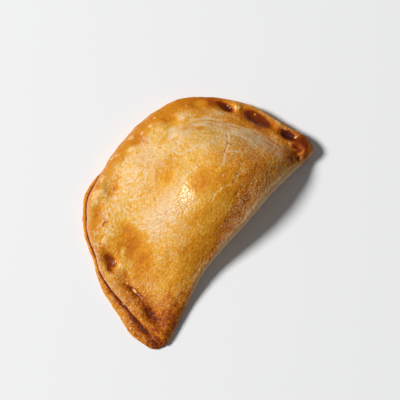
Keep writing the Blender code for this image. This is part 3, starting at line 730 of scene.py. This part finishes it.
def stitch(upper, lower):
    """Faces between two rings of point numbers; either may have half the other's points, or one."""
    if len(upper) == len(lower):
        return list(zip(upper, lower, np.roll(lower, -1), np.roll(upper, -1)))
    flipped = len(upper) > len(lower)
    coarse, fine = (lower, upper) if flipped else (upper, lower)
    ahead = np.roll(fine, -1)
    if len(coarse) == 1:
        faces = [(coarse[0], a, b) for a, b in zip(fine, ahead)]
    else:
        faces = []
        for here, (a, b) in enumerate(zip(coarse, np.roll(coarse, -1))):
            first, second, third = fine[2 * here], fine[2 * here + 1], ahead[2 * here + 1]
            faces += [(a, first, second), (a, second, b), (b, second, third)]
    return [(a, c, b) for a, b, c in faces] if flipped else faces


def distance_to_line(plan, line):
    """Distance from points in plan to a line of straight pieces."""
    nearest = np.full(len(plan), np.inf)
    for start, end in zip(np.array(line), np.array(line[1:])):
        along = end - start
        part = np.clip((plan - start) @ along / (along @ along), 0.0, 1.0)
        nearest = np.minimum(nearest, np.hypot(*(plan - start - part[:, None] * along).T))
    return nearest


def solid_noise(points, wavelength, layer):
    """Noise from -1 to 1 at points in space; the layer picks a slice of its own."""
    shift = Vector((0.0, 0.0, 31.7 * layer))
    return np.array([noise.noise(Vector(point) / wavelength + shift) for point in points])


def painted(plan, rows, looks, edge=PATCH_EDGE):
    """Tone, warmth and gloss after each patch has been painted over what lies under it."""
    for *place, tone, warmth, gloss in rows:
        cover = np.clip(patch_strength(plan, *place, edge), 0.0, 1.0)[:, None]
        looks = looks + cover * (np.array((tone, warmth, gloss)) - looks)
    return looks


def covered(looks, cover, crust):
    """Looks after the edge's own tone and warmth have been painted over part of them."""
    cover = cover[:, None]
    return np.column_stack([looks[:, :2] + cover * (np.array(crust) - looks[:, :2]), looks[:, 2]])


def combined(plan, rows):
    """Patches laid over each other, from 0 to 1."""
    left = np.ones(len(plan))
    for row in rows:
        left *= 1.0 - np.clip(patch_strength(plan, *row), 0.0, 1.0)
    return 1.0 - left


def line_cover(plan, lines):
    """How much the soft-edged lines cover each point."""
    cover = np.zeros(len(plan))
    for line, half_width, strength in lines:
        cover = np.maximum(cover, strength * np.exp(-(distance_to_line(plan, line) / half_width) ** 2))
    return cover


def pit_cover(plan):
    """How much the pits cover each point."""
    rows = [(x, y, radius, radius, 0.0, 1.0) for x, y, radius in PITS]
    return combined(plan, rows)


def wrinkle_heights(plan, distance):
    """Height, from -1 to 1, of the wrinkles that follow the edge at points in plan."""
    length, width = WRINKLE_SIZES[:2]
    return np.array([noise.noise(Vector(((x - y) / length, away / width, 5.0)))
                     for (x, y), away in zip(plan, distance)])


def nearest_edge(plan):
    """Of the outline's point nearest to each point in plan: the distance, the ledge and the seal."""
    border = Border()
    tree = kdtree.KDTree(len(border.outline))
    for number, (x, y) in enumerate(border.outline):
        tree.insert((x, y, 0.0), number)
    tree.balance()
    found = [tree.find((x, y, 0.0)) for x, y in plan]
    number = [hit[1] for hit in found]
    distance = np.array([hit[2] for hit in found])
    return distance, border.ledge[number], border.seal[number]


def edge_covers(plan, level, distance, ledge, seal, tone):
    """How much the rim, lower layer, its lean tip, the gap and the fold paint over each point; the tip's and
    the gap's dark is partly painted shade.
    """
    under_upper = np.clip(ledge - distance, 0.0, None)
    rim = RIM_SHARE * seal * (1.0 - coming_in(distance - ledge, *RIM_INSET))
    rim *= coming_in(tone, *RIM_TONES)
    under = seal * coming_in(level, PARTING_LEVEL + 1.0, 1.0)
    # The lean tip's dark, strongest by the upper layer's edge, is partly painted shade.
    at_tip = under * coming_in(plan[:, 1], *LOWER_TIP_ALONG) * (plan[:, 0] < LOWER_TIP_END)
    at_tip *= LOWER_TIP_LEAST + (1.0 - LOWER_TIP_LEAST) * np.exp(-(under_upper / LOWER_TIP_REACH) ** 2)
    # The gap's dark band is browned crust and painted shade under the upper layer's edge.
    gap_width = GAP_WIDTHS[0] + GAP_WIDTHS[1] * ledge
    gap_shade_and_crust = np.exp(-(under_upper / gap_width) ** 2) * coming_in(ledge, *GAP_LEDGES)
    gap_shade_and_crust *= seal * coming_in(level, PARTING_LEVEL, 0.5)
    fold = (1.0 - seal) * coming_in(level, *FOLD_LEVELS)
    for end in FOLD_ENDS:
        fold *= coming_in(plan[:, 0], *end)
    return rim, under, at_tip, gap_shade_and_crust, fold


def graininess(plan, inset, seal, tone, wrinkled):
    """How speckled and uneven the crust is at each point, from 0 to 1."""
    inner = coming_in(inset, *GRAINY_INSET)
    for axis, end in enumerate(GRAINY_ENDS):
        inner = np.maximum(inner, coming_in(plan[:, axis], *end))
    at_tip = coming_in(plan[:, 0], *GRAINY_TIP[0]) * coming_in(plan[:, 1], *GRAINY_TIP[1])
    scorched = coming_in(tone, *SCORCHED_TONES) * (1.0 - at_tip)
    grainy = np.maximum(1.0 - seal * (1.0 - inner) * SMOOTH_EDGE, GRAINY_TIP_SHARE * at_tip)
    return grainy * (1.0 - SMOOTH_SCORCHED * scorched) * (1.0 - SMOOTH_WRINKLED * wrinkled)


def warped(points):
    """The points' places in plan, pushed about so that the patches' edges are uneven."""
    plan = points[:, :2].copy()
    for order, (wavelength, amount) in enumerate(PATCH_WARPS):
        for axis in (0, 1):
            plan[:, axis] += amount * solid_noise(points, wavelength, 1 + 2 * order + axis)
    return plan


def crust_masks(points, level):
    """What the material and the relief need to know of the crust at each point, by name."""
    straight, plan = points[:, :2], warped(points)
    distance, ledge, seal = nearest_edge(straight)
    looks = painted(plan, PATCHES, np.tile(BARE_CRUST, (len(plan), 1)))
    rim, under, *others = edge_covers(plan, level, distance, ledge, seal, looks[:, 0])
    looks = painted(straight, SPOTS, covered(looks, rim, RIM_CRUST), SPOT_EDGE)
    # The lean tip's and the gap's dark colours are partly painted shade.
    for cover, crust in zip((under, *others), (LOWER_CRUST, LOWER_TIP_SHADE_AND_CRUST, GAP_SHADE_AND_CRUST, FOLD_CRUST)):
        looks = covered(looks, cover, crust)
    wrinkled = combined(plan, WRINKLED)
    wrinkles = wrinkled * wrinkle_heights(straight, distance)
    looks[:, :2] += wrinkles[:, None] * WRINKLE_LOOKS
    pits = np.clip(pit_cover(straight) + line_cover(straight, CRACKS), 0.0, 1.0)
    looks = covered(looks, pits, PIT_CRUST)
    return {
        "tone": looks[:, 0],
        "warmth": looks[:, 1],
        "gloss": looks[:, 2],
        "grainy": graininess(plan, distance - ledge, seal, looks[:, 0], wrinkled),
        "wrinkles": wrinkles,
        "crazed": combined(plan, CRAZED),
        "marbled": combined(plan, MARBLED),
        "seams": line_cover(straight, SEAMS),
        "flaky": combined(plan, FLAKES),
        "pits": pits,
        "under": under,
    }


def fine_relief(points, masks):
    """Height of the crust's grain, flakes, wrinkles, pits and seams along the normals."""
    relief = np.zeros(len(points))
    for order, (wavelength, amount) in enumerate(GRAIN):
        relief += amount * solid_noise(points, wavelength, 10 + order)
    roughness = np.clip(masks["under"] + ROUGH_GROWTH * (masks["tone"] - ROUGH_TONE), 0.0, 1.0)
    for order, (wavelength, amount) in enumerate(ROUGH_GRAIN):
        relief += amount * roughness * solid_noise(points, wavelength, 20 + order)
    relief += FLAKE_HEIGHT * coming_in(masks["flaky"], *FLAKE_RISE)
    relief += WRINKLE_SIZES[2] * masks["wrinkles"]
    relief -= PIT_DEPTH * masks["pits"] + SEAM_DEPTH * masks["seams"]
    return relief


def numbered(rings):
    """The numbers of each ring's points in the list of all points."""
    firsts = np.cumsum([0] + [len(ring) for ring in rings])
    return [np.arange(first, after) for first, after in zip(firsts, firsts[1:])]


def make_pastry():
    rings = pastry_rings()
    rows = np.vstack(rings)
    rows[:, 2] += np.clip(rows[:, 4], 0.0, 1.0) * top_relief(rows[:, :2])
    numbers = numbered(rings)
    faces = [face for upper, lower in zip(numbers, numbers[1:]) for face in stitch(upper, lower)]
    mesh = bpy.data.meshes.new("pastry")
    centre = np.array([*DRAWING_CENTRE, 0.0])
    mesh.from_pydata(((rows[:, :3] - centre) * MM).tolist(), [], [list(map(int, face)) for face in faces])
    normals = np.zeros(len(rows) * 3, dtype=np.float32)
    mesh.vertex_normals.foreach_get("vector", normals)
    normals = normals.reshape(-1, 3).astype(float)
    points, level = rows[:, :3], rows[:, 3]
    masks = crust_masks(points, level)
    standing = coming_in(points[:, 2], 0.0, RELIEF_FULL)
    moved = points + normals * (fine_relief(points, masks) * standing)[:, None]
    mesh.vertices.foreach_set("co", ((moved - centre) * MM).astype(np.float32).ravel())
    for name in MATERIAL_READS:
        values = masks[name].astype(np.float32)
        mesh.attributes.new(name, "FLOAT", "POINT").data.foreach_set("value", values)
    mesh.shade_smooth()
    mesh.update()
    pastry = bpy.data.objects.new("pastry", mesh)
    bpy.context.scene.collection.objects.link(pastry)
    return pastry


class Tree:
    """Short calls that add nodes to a material and join them up."""

    def __init__(self, material):
        material.use_nodes = True
        self.tree = material.node_tree
        self.shader = self.tree.nodes["Principled BSDF"]

    def join(self, source, target):
        if isinstance(source, (int, float, tuple)):
            target.default_value = source
        else:
            self.tree.links.new(source, target)

    def add(self, kind, inputs, operation=None):
        """A new node, with its inputs set or joined."""
        node = self.tree.nodes.new("ShaderNode" + kind)
        if operation:
            node.operation = operation
        for name, source in inputs.items():
            self.join(source, node.inputs[name])
        return node

    def place(self):
        return self.add("TexCoord", {}).outputs["Object"]

    def mask(self, name):
        node = self.add("Attribute", {})
        node.attribute_name = name
        return node.outputs["Fac"]

    def noise(self, place, wavelength, detail=2.0, roughness=0.5):
        return self.add("TexNoise", {"Vector": place, "Scale": 1.0 / (wavelength * MM),
                                     "Detail": detail, "Roughness": roughness})

    def even_noise(self, *sizes, **more):
        """Noise about 0 instead of 0.5."""
        return self.maths("SUBTRACT", self.noise(*sizes, **more).outputs["Fac"], 0.5)

    def cells(self, place, wavelength):
        node = self.add("TexVoronoi", {"Vector": place, "Scale": 1.0 / (wavelength * MM)})
        node.feature = "DISTANCE_TO_EDGE"
        return node.outputs["Distance"]

    def maths(self, operation, *values):
        return self.add("Math", dict(enumerate(values)), operation).outputs["Value"]

    def product(self, first, *others):
        for other in others:
            first = self.maths("MULTIPLY", first, other)
        return first

    def scaled(self, value, factor, added):
        return self.maths("MULTIPLY_ADD", value, factor, added)

    def ramp(self, value, low, high, bottom=0.0, top=1.0):
        node = self.add("MapRange", {"Value": value, "From Min": low, "From Max": high,
                                     "To Min": bottom, "To Max": top})
        node.interpolation_type = "SMOOTHSTEP"
        return node.outputs["Result"]

    def blend(self, factor, first, second):
        node = self.add("Mix", {})
        node.data_type = "RGBA"
        for name, source in (("Factor", factor), ("A", first), ("B", second)):
            self.join(source, node.inputs[name])
        return node.outputs["Result"]

    def colours(self, value, stops):
        node = self.add("ValToRGB", {"Fac": value})
        elements = node.color_ramp.elements
        while len(elements) < len(stops):
            elements.new(1.0)
        for element, (position, colour) in zip(elements, stops):
            element.position = position
            element.color = (*colour, 1.0)
        return node.outputs["Color"]

    def moved(self, place, offsets, amount):
        centred = self.add("VectorMath", {0: offsets, 1: (0.5, 0.5, 0.5)}, "SUBTRACT")
        push = {0: centred.outputs["Vector"], 1: (amount * MM,) * 3, 2: place}
        return self.add("VectorMath", push, "MULTIPLY_ADD").outputs["Vector"]

    def bump(self, height, distance, strength):
        node = self.add("Bump", {"Height": height, "Distance": distance * MM, "Strength": strength})
        return node.outputs["Normal"]


def crust_patterns(tree):
    """The patterns that the colours and the surface share, by name."""
    place = tree.place()
    loose = tree.moved(place, tree.noise(place, LOOSE_WAVE).outputs["Color"], LOOSE_PUSH)
    return {
        "fine": tree.even_noise(place, FINE_WAVE, roughness=0.6),
        "grain": tree.even_noise(place, GRAIN_WAVE, roughness=0.6),
        "mottle": tree.even_noise(loose, MOTTLE_WAVE, 3.0, 0.6),
        "cloud": tree.even_noise(place, CLOUD_WAVE),
        "threads": tree.maths("ABSOLUTE", tree.even_noise(loose, THREAD_WAVE)),
        "walls": tree.ramp(tree.cells(loose, CELL_SIZE), 0.0, 0.10, 1.0, 0.0),
        "pebbles": tree.noise(place, PEBBLE_WAVE, 0.0).outputs["Fac"],
    }


def pale_marks(tree, patterns):
    """How strongly pale specks, lace, crazing, seams and veins mark the crust."""
    grain, mottle, threads = patterns["grain"], patterns["mottle"], patterns["threads"]
    tone, warmth, marbled = tree.mask("tone"), tree.mask("warmth"), tree.mask("marbled")
    lace = tree.product(tree.ramp(threads, 0.0, 0.05, 1.0, 0.0), tree.ramp(grain, -0.06, 0.08))
    crazing = tree.product(patterns["walls"], tree.mask("crazed"), tree.ramp(mottle, -0.10, 0.08, 0.1, 1.0))
    veins = tree.product(tree.ramp(threads, 0.01, 0.07, 1.0, 0.0), tree.ramp(mottle, -0.10, 0.04),
                         marbled, tree.ramp(warmth, 0.9, 1.5, 1.0, 0.1))
    specks = tree.product(tree.ramp(patterns["fine"], 0.045, 0.15),
                          tree.scaled(marbled, -0.6, 1.0))
    pale = tree.maths("MAXIMUM", tree.maths("MAXIMUM", specks, lace), crazing)
    pale = tree.product(pale, tree.mask("grainy"), tree.ramp(warmth, 1.2, 2.0, 1.0, 0.4),
                        tree.ramp(tone, 0.6, 0.95, 1.0, 0.35))
    return tree.maths("MAXIMUM", tree.scaled(tree.mask("seams"), 1.2, pale), veins)


def unevenness(tree, patterns):
    """The mottling that tone and gloss share."""
    grain, mottle = patterns["grain"], patterns["mottle"]
    uneven = tree.scaled(mottle, 0.8, tree.product(grain, 0.9))
    return tree.scaled(patterns["cloud"], 0.4, uneven)


def crust_colour(tree, patterns, uneven):
    """The crust's colour, with flakes over it."""
    grain, mottle, grainy = patterns["grain"], patterns["mottle"], tree.mask("grainy")
    tone, pale = tree.mask("tone"), pale_marks(tree, patterns)
    lively = tree.product(tree.scaled(tone, 1.1, -0.05), grainy)
    paling = tree.scaled(tone, 0.28, 0.02)
    paling = tree.scaled(tree.mask("marbled"), 0.08, paling)
    tone = tree.scaled(uneven, lively, tone)
    tone = tree.maths("SUBTRACT", tone, tree.product(pale, paling))
    blotches = tree.product(tree.scaled(mottle, 1.3, tree.product(grain, 0.8)), grainy)
    warmth = tree.scaled(blotches, 0.9, tree.mask("warmth"))
    warmth = tree.ramp(tree.scaled(pale, -0.90, warmth), 0.0, 0.70)
    colour = tree.blend(warmth, tree.colours(tone, FLOURY), tree.colours(tone, WASHED))
    flakes = tree.scaled(mottle, 1.6, tree.mask("flaky"))
    flakes = tree.ramp(tree.scaled(grain, 1.4, flakes), 0.35, 0.60)
    return tree.blend(tree.product(flakes, 0.7), colour, FLAKE)


def crust_normal(tree, patterns):
    """Pebbling of the crust, weaker where it is smooth or thick with egg wash."""
    pebbles = tree.scaled(patterns["mottle"], 0.5, patterns["pebbles"])
    height = tree.product(pebbles, tree.scaled(tree.mask("grainy"), 0.7, 0.3),
                          tree.ramp(tree.mask("warmth"), 1.2, 2.0, 1.0, 0.5))
    return tree.bump(height, PEBBLE_HEIGHT, PEBBLE_STRENGTH)


def crust_material():
    material = bpy.data.materials.new("baked_crust")
    tree = Tree(material)
    patterns = crust_patterns(tree)
    uneven = unevenness(tree, patterns)
    normal = crust_normal(tree, patterns)
    gloss = tree.scaled(uneven, 0.3, tree.mask("gloss"))
    inputs = tree.shader.inputs
    tree.join(crust_colour(tree, patterns, uneven), inputs["Base Color"])
    tree.join(normal, inputs["Normal"])
    tree.join(tree.ramp(gloss, 0.0, 1.0, *ROUGHNESS), inputs["Roughness"])
    inputs["Specular IOR Level"].default_value = SPECULAR
    tree.join(tree.ramp(gloss, 0.2, 1.1, 0.0, COAT_MOST), inputs["Coat Weight"])
    inputs["Coat Roughness"].default_value = COAT_ROUGHNESS
    inputs["Coat IOR"].default_value = COAT_REFRACTION
    tree.join(normal, inputs["Coat Normal"])
    return material


def direction_from(azimuth, elevation):
    turn, lift = math.radians(azimuth), math.radians(elevation)
    return Vector((math.sin(turn) * math.cos(lift), -math.cos(turn) * math.cos(lift), math.sin(lift)))


def make_camera():
    data = bpy.data.cameras.new("camera")
    data.sensor_width = SENSOR
    data.lens = SENSOR * DISTANCE / SEEN_WIDTH
    data.clip_end = CAMERA_REACH
    camera = bpy.data.objects.new("camera", data)
    back = direction_from(AZIMUTH, ELEVATION)
    camera.location = (Vector(AIM) + back * DISTANCE) * MM
    camera.rotation_euler = back.to_track_quat("Z", "Y").to_euler()
    bpy.context.scene.collection.objects.link(camera)
    bpy.context.scene.camera = camera


def make_light():
    data = bpy.data.lights.new("window", "AREA")
    data.shape = "DISK"
    data.size = 2.0 * LIGHT_DISTANCE * math.tan(math.radians(0.5 * LIGHT_ANGLE))
    data.energy = LIGHT_POWER
    light = bpy.data.objects.new("window", data)
    towards = Vector(TO_LIGHT).normalized()
    light.location = towards * LIGHT_DISTANCE
    light.rotation_euler = towards.to_track_quat("Z", "Y").to_euler()
    bpy.context.scene.collection.objects.link(light)


def make_surroundings():
    world = bpy.data.worlds.new("surroundings")
    world.use_nodes = True
    background = world.node_tree.nodes["Background"]
    background.inputs["Color"].default_value = SURROUNDINGS_TINT
    background.inputs["Strength"].default_value = SURROUNDINGS
    bpy.context.scene.world = world


def make_floor():
    half = 0.5 * FLOOR_SIZE
    mesh = bpy.data.meshes.new("floor")
    corners = ((-half, -half, 0.0), (half, -half, 0.0), (half, half, 0.0), (-half, half, 0.0))
    mesh.from_pydata(corners, [], [(0, 1, 2, 3)])
    floor = bpy.data.objects.new("floor", mesh)
    material = bpy.data.materials.new("floor")
    material.use_nodes = True
    shader = material.node_tree.nodes["Principled BSDF"]
    shader.inputs["Base Color"].default_value = FLOOR_COLOUR
    shader.inputs["Roughness"].default_value = FLOOR_ROUGHNESS
    shader.inputs["Specular IOR Level"].default_value = 0.0
    mesh.materials.append(material)
    bpy.context.scene.collection.objects.link(floor)


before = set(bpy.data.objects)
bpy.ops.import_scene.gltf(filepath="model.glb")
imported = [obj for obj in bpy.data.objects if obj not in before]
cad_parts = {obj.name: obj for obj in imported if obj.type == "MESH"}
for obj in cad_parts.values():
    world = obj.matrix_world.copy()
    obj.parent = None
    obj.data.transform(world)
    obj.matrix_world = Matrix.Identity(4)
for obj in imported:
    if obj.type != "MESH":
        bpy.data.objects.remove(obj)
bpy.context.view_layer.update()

pastry = make_pastry()
pastry.data.materials.append(crust_material())
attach(pastry, "root")
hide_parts("empanada")

make_floor()
make_light()
make_surroundings()
make_camera()
bpy.context.scene.view_settings.view_transform = "Standard"
